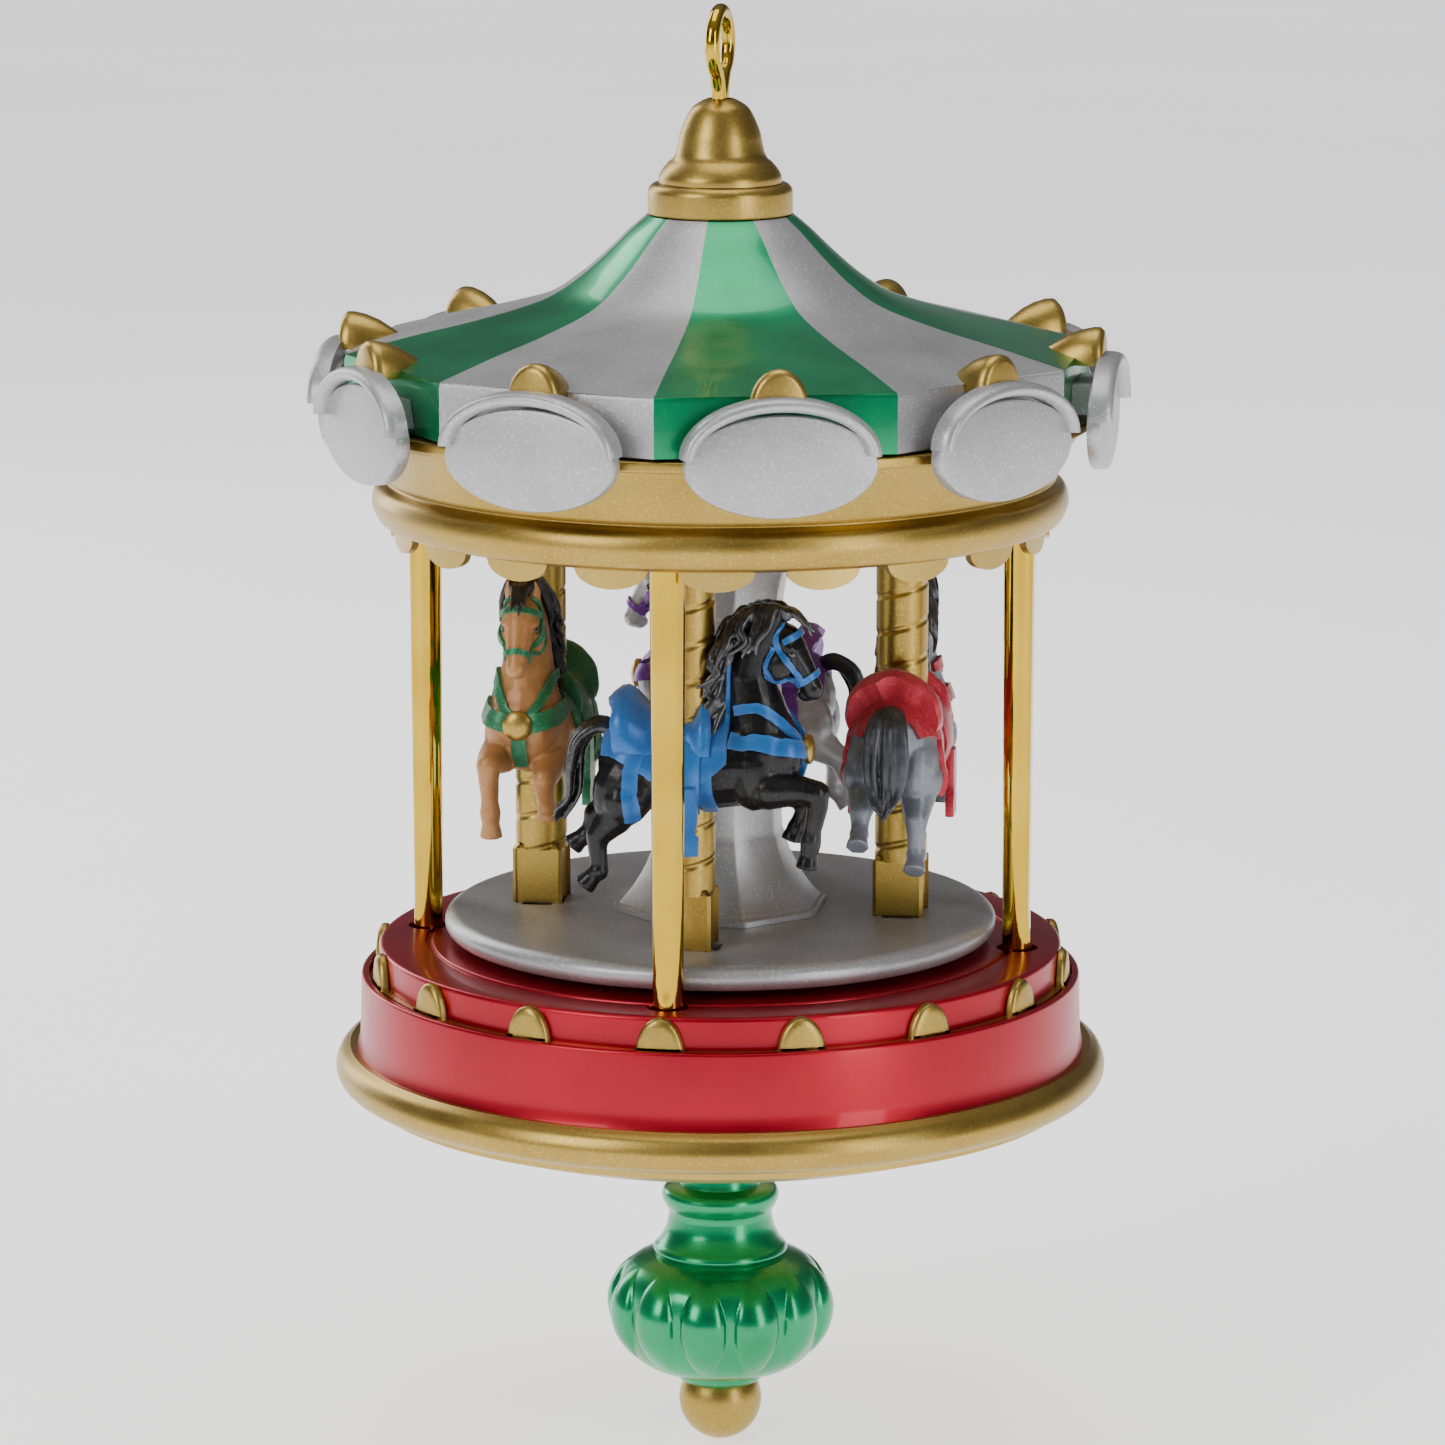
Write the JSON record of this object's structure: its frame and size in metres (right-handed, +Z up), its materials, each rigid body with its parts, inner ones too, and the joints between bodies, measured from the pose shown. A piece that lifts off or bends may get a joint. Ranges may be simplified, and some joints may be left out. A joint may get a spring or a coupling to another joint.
{
  "type": "carousel music box",
  "caption": "Hanging carousel music box: striped tent roof on gold columns, horses on a turning platform, red base with a spring movement and a lobed winding knob.",
  "frame": {"origin": "the hanging point: the inside top of the eye's wire loop, on the axis of the carousel", "axes": "+Z up along the carousel's axis; the first column and the first horse's pole stand on -Y"},
  "size_m": [0.0838, 0.0858, 0.1533],
  "materials": {
    "gold": "polished, gold plated",
    "satin_gold": "satin gold",
    "silver": "fine-grained metallic silver",
    "candy_red": "glossy metallic lacquer",
    "candy_green": "glossy metallic lacquer with silver stripes on the roof",
    "steel": "brushed",
    "movement_brass": "plain machined",
    "horse_black": "pearl charcoal with blue tack",
    "horse_blue_grey": "pearl blue grey with red tack",
    "horse_light_grey": "pearl light grey with purple tack",
    "horse_tan": "pearl tan with green tack"
  },
  "bodies": {
    "case": {"base_drum": "candy_red", "base_flange": "gold", "base_stud_ring": "gold", "bottom_cover": "steel", "canopy_roof": "candy_green", "column_1": "gold", "column_2": "gold", "column_3": "gold", "column_4": "gold", "comb_screw_1": "steel", "comb_screw_2": "steel", "cornice_band": "gold", "governor_frame": "movement_brass", "hanging_eye": "gold", "medallion_01": "silver", "medallion_02": "silver", "medallion_03": "silver", "medallion_04": "silver", "medallion_05": "silver", "medallion_06": "silver", "medallion_07": "silver", "medallion_08": "silver", "medallion_09": "silver", "medallion_10": "silver", "movement_bedplate": "steel", "music_comb": "steel", "roof_cap": "satin_gold", "roof_collar": "gold", "roof_stud_01": "gold", "roof_stud_02": "gold", "roof_stud_03": "gold", "roof_stud_04": "gold", "roof_stud_05": "gold", "roof_stud_06": "gold", "roof_stud_07": "gold", "roof_stud_08": "gold", "roof_stud_09": "gold", "roof_stud_10": "gold", "scalloped_valance": "gold"},
    "turntable": {"spring_barrel": "movement_brass", "drive_shaft": "steel", "turntable_platform": "silver", "hub_column": "silver", "ceiling_plate": "satin_gold", "pole_1": "gold", "pole_2": "gold", "pole_3": "gold", "pole_4": "gold", "horse_1": "horse_black", "horse_2": "horse_blue_grey", "horse_3": "horse_light_grey", "horse_4": "horse_tan"},
    "winder": {"winding_arbor": "steel", "winding_knob": "candy_green", "knob_ball": "gold"},
    "cylinder": {"pinned_cylinder": "movement_brass"},
    "governor": {"governor_fan": "steel"}
  },
  "joints": [
    {"name": "turntable_spin", "type": "hinge", "parent": "case", "child": "turntable", "pos_m": [0, 0, -0.09455], "axis": [0, 0, 1], "continuous": true},
    {"name": "knob_turn", "type": "hinge", "parent": "case", "child": "winder", "pos_m": [0, 0, -0.13205], "axis": [0, 0, 1], "continuous": true},
    {"name": "cylinder_spin", "type": "hinge", "parent": "case", "child": "cylinder", "pos_m": [0.02, 0, -0.10355], "axis": [1, 0, 0], "continuous": true},
    {"name": "governor_spin", "type": "hinge", "parent": "case", "child": "governor", "pos_m": [-0.0161, 0, -0.10405], "axis": [0, 0, 1], "continuous": true}
  ],
  "couplings": [
    {"joint": "cylinder_spin", "follows": "turntable_spin", "ratio": 3.6},
    {"joint": "governor_spin", "follows": "turntable_spin", "ratio": -3.6}
  ]
}
